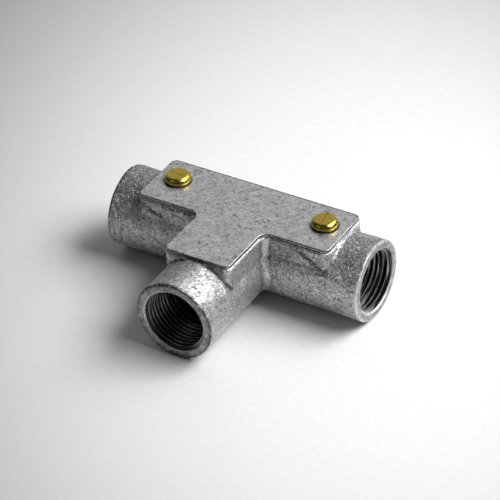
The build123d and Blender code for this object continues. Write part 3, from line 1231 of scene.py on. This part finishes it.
def galvanised_plate(colours):
    """Rolled galvanised sheet: mottled, finely crazed, faintly scratched and pitted, with painted shade
    along its side and far edge and round the screws.
    """
    plate = material_recipe("galvanised_plate")
    sheet, bright, shade_and_grime = colours.plate, colours.bright_zinc, colours.shade_and_grime

    # Mottle
    cloud = plate.noise(4, detail=4, roughness=0.6)
    mottle = plate.noise(1.0, distortion=0.8, roughness=0.6)
    speck = plate.noise(0.44, detail=2)
    colour = plate.two_tone(cloud, sheet, dark=0.86, pale=1.12)
    colour = plate.mix(plate.ramp(mottle, 0.36, 0.48, 0.5, 0), colour, scaled(sheet, 0.5))
    colour = plate.mix(plate.ramp(speck, 0.38, 0.48, 0.45, 0), colour, scaled(sheet, 0.5))
    colour = plate.mix(plate.ramp(speck, 0.52, 0.66, 0, 0.5), colour, scaled(sheet, 1.7))

    # Faint scratches in four directions: turn, length, width and how rare they are
    scratches = []
    for turn, along, across, rarity in (
        (0.75, 4, 0.3, 0.60), (0.95, 6, 0.28, 0.62), (-0.5, 5, 0.25, 0.66), (2.2, 5, 0.25, 0.66),
    ):
        streak = plate.noise(1, detail=1, place=plate.drawn_out((along, across, across), turn))
        scratches.append(plate.ramp(streak, rarity, rarity + 0.05))
    colour = plate.coat(colour, reduce(plate.larger, scratches), 0.5, bright)

    # Pits and crazed lines
    craze = plate.band(plate.folds(2.2, 0.8), 0, 0.06)
    craze = plate.times(craze, plate.patches(1.4, 0.5, 0.57, detail=2))
    pits = plate.times(plate.pits(1.0), plate.patches(2.4, 0.59, 0.63))
    pits = plate.larger(pits, plate.times(craze, 0.7))
    colour = plate.coat(colour, pits, 0.9, shade_and_grime)

    # Painted shade in a line along the sheet's side and at its foot on the rim, and round the screws dirt
    # with painted contact shade
    # Painted shade on the far edge
    colour = plate.mix(plate.layer("far_edge_shade"), colour, shade_and_grime)
    line_height, line_width, foot_height, foot_width = 0.72, 0.5, 0.05, 0.3
    ring_radius, ring_width = 3.8, 1.2
    height = plate.less(plate.height(), cover_low.z / MM)
    line = plate.band(height, line_height, line_width)
    shade_and_dirt = plate.larger(line, plate.band(height, foot_height, foot_width))
    # Round each screw: dirt, with painted contact shade
    for low, high in ((left_low, left_high), (right_low, right_high)):
        middle = (low + high) / 2
        place = plate.drawn_out((1, 1, 1), middle=(middle.x, middle.y, cover_high.z))
        shade_and_dirt = plate.larger(shade_and_dirt, plate.band(plate.spread(place), ring_radius, ring_width))
    colour = plate.coat(colour, shade_and_dirt, 0.85, shade_and_grime)

    roughness = plate.ramp(plate.noise(1.6, detail=4), 0.3, 0.7, 0.26, 0.36)
    normal = plate.bump(cloud, 0.05)
    normal = plate.bump(mottle, 0.025, normal)
    normal = plate.bump(plate.less(1, pits), 0.03, normal)
    return plate.finish(colour, roughness, normal, metallic=0.7)


def cover_brass(colours):
    """Turned brass, dulled to olive here and there."""
    brass = material_recipe("cover_brass")
    patch = brass.noise(1.3)
    grain = brass.noise(0.3, detail=2)
    dull, bright = scaled(colours.brass, 0.7), scaled(colours.brass, 1.3)
    colour = brass.mix(brass.ramp(patch, 0.35, 0.65, 0.45, 0), colours.brass, dull)
    colour = brass.mix(brass.ramp(grain, 0.55, 0.8, 0, 0.3), colour, bright)
    roughness = brass.ramp(patch, 0.3, 0.7, 0.2, 0.3)
    return brass.finish(colour, roughness, brass.bump(patch, 0.004), metallic=1.0)


def pale_floor(stage):
    """Matte near-white paper, with a painted falloff of light: it greys away from a pale pool near the
    tee.
    """
    paper = material_recipe("pale_floor")
    dark_grain, light_grain, unlit_grey = (0.83,) * 3, (0.86,) * 3, (0.30,) * 3
    middle = (14 * MM, 34 * MM, 0)
    lit_pool_width, lit_pool_length = 157, 256
    grain = paper.noise(2.0)
    colour = paper.mix(paper.ramp(grain, 0.3, 0.7), dark_grain, light_grain)
    place = paper.drawn_out((lit_pool_width, lit_pool_length, lit_pool_length), stage.azimuth, middle)
    # Painted falloff of light: grey away from the pool
    colour = paper.mix(paper.ramp(paper.spread(place), 0.2, 1.2), colour, unlit_grey)
    return paper.finish(colour, 0.9, paper.bump(grain, 0.05), metallic=0.0)


# The stage


def away(azimuth, elevation):
    """The direction from the tee to something that stands round it. Azimuth 0 is in front."""
    return Vector((
        math.sin(azimuth) * math.cos(elevation),
        -math.cos(azimuth) * math.cos(elevation),
        math.sin(elevation),
    ))


def aim(data, name, back, target, distance, roll=0.0):
    """Puts a lamp or the camera into the scene, to look at a target from a distance."""
    holder = put_in_scene(name, data)
    holder.location = target + back * distance
    holder.rotation_mode = "QUATERNION"
    facing = back.to_track_quat("Z", "Y")
    holder.rotation_quaternion = facing @ Matrix.Rotation(roll, 3, "Z").to_quaternion()
    return holder


def soft_light(name, target, watts, width, tall, azimuth, elevation, distance):
    """A softbox that looks at a point, placed by the camera's own angles in degrees."""
    lamp = bpy.data.lights.new(name, "AREA")
    lamp.energy = watts
    lamp.shape = "RECTANGLE"
    lamp.size, lamp.size_y = width, tall
    aim(lamp, name, away(azimuth * DEGREE, elevation * DEGREE), target, distance)


def studio_room(stage):
    """A dim room, with a paler wall behind the tee."""
    wall = away(205 * DEGREE, 25 * DEGREE)
    wall_starts, wall_full = 0.45, 0.85
    world = bpy.data.worlds.new("studio_room")
    room = Recipe(world, "Generated")
    facing = room.node("ShaderNodeVectorMath", {0: room.place, 1: wall}, operation="DOT_PRODUCT")
    strength = room.ramp(
        facing.outputs["Value"], wall_starts, wall_full, stage.room_light, stage.wall_light)
    background = room.tree.nodes["Background"]
    room.link((1, 1, 1, 1), background.inputs["Color"])
    room.link(strength, background.inputs["Strength"])
    return world


class SCENE_OT_tee_stage(bpy.types.Operator):
    """Sets up the floor, the lights and the camera"""

    bl_idname = "scene.tee_stage"
    bl_label = "Build Stage"

    def execute(self, context):
        scene, stage = context.scene, context.scene.tee_stage
        target = Vector(stage.target)
        scene.view_settings.view_transform = "Standard"
        floor_reach = 3.0
        corners = [(x * floor_reach, y * floor_reach, 0) for x, y in ((-1, -1), (1, -1), (1, 1), (-1, 1))]
        floor = mesh_object("floor", corners, [(0, 1, 2, 3)])
        floor.data.materials.append(pale_floor(stage))

        scene.world = studio_room(stage)
        soft_light(
            "key", target, stage.key_power,
            width=0.62, tall=0.42, azimuth=114, elevation=50, distance=0.8)
        soft_light(
            "glare", target, stage.glare_power,
            width=0.5, tall=0.45, azimuth=148, elevation=38, distance=1.0)
        soft_light(
            "fill", target, stage.fill_power,
            width=0.5, tall=0.5, azimuth=-30, elevation=40, distance=1.0)

        lens = bpy.data.cameras.new("camera")
        lens.sensor_width = 36
        lens.lens = stage.lens
        lens.clip_start, lens.clip_end = 0.01, 20
        back = away(stage.azimuth, stage.elevation)
        scene.camera = aim(lens, "camera", back, target, stage.distance, stage.roll)
        return {"FINISHED"}


class VIEW3D_PT_conduit_tee(bpy.types.Panel):
    """The sizes of the tee, and a button for each piece"""

    bl_label = "Conduit Tee"
    bl_idname = "VIEW3D_PT_conduit_tee"
    bl_space_type = "VIEW_3D"
    bl_region_type = "UI"
    bl_category = "Conduit Tee"

    def draw(self, context):
        for group, operator in (
            ("tee_casting", "mesh.tee_casting"), ("tee_cover", "mesh.tee_cover"),
            ("tee_screw", "mesh.tee_screws"), ("tee_stage", "scene.tee_stage"), ("tee_finish", None),
        ):
            box = self.layout.box()
            settings = getattr(context.scene, group)
            for name in settings.bl_rna.properties.keys():
                if name not in {"rna_type", "name"}:
                    box.prop(settings, name)
            if operator:
                box.operator(operator)


GROUPS = {
    "tee_casting": CastingSize,
    "tee_cover": CoverSize,
    "tee_screw": ScrewSize,
    "tee_finish": FinishColours,
    "tee_stage": StageSize,
}
CLASSES = (
    *GROUPS.values(),
    MESH_OT_tee_casting, MESH_OT_tee_cover, MESH_OT_tee_screws, SCENE_OT_tee_stage,
    VIEW3D_PT_conduit_tee,
)


def register():
    """Makes the settings, operators and panel known to Blender."""
    for cls in CLASSES:
        bpy.utils.register_class(cls)
    for name, cls in GROUPS.items():
        setattr(bpy.types.Scene, name, PointerProperty(type=cls))


def unregister():
    """Takes them away again."""
    for name in GROUPS:
        delattr(bpy.types.Scene, name)
    for cls in reversed(CLASSES):
        bpy.utils.unregister_class(cls)


def main():
    """Builds everything in order."""
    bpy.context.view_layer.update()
    register()
    bpy.ops.mesh.tee_casting()
    bpy.ops.mesh.tee_cover()
    bpy.ops.mesh.tee_screws()
    bpy.ops.scene.tee_stage()


if __name__ == "__main__":
    main()
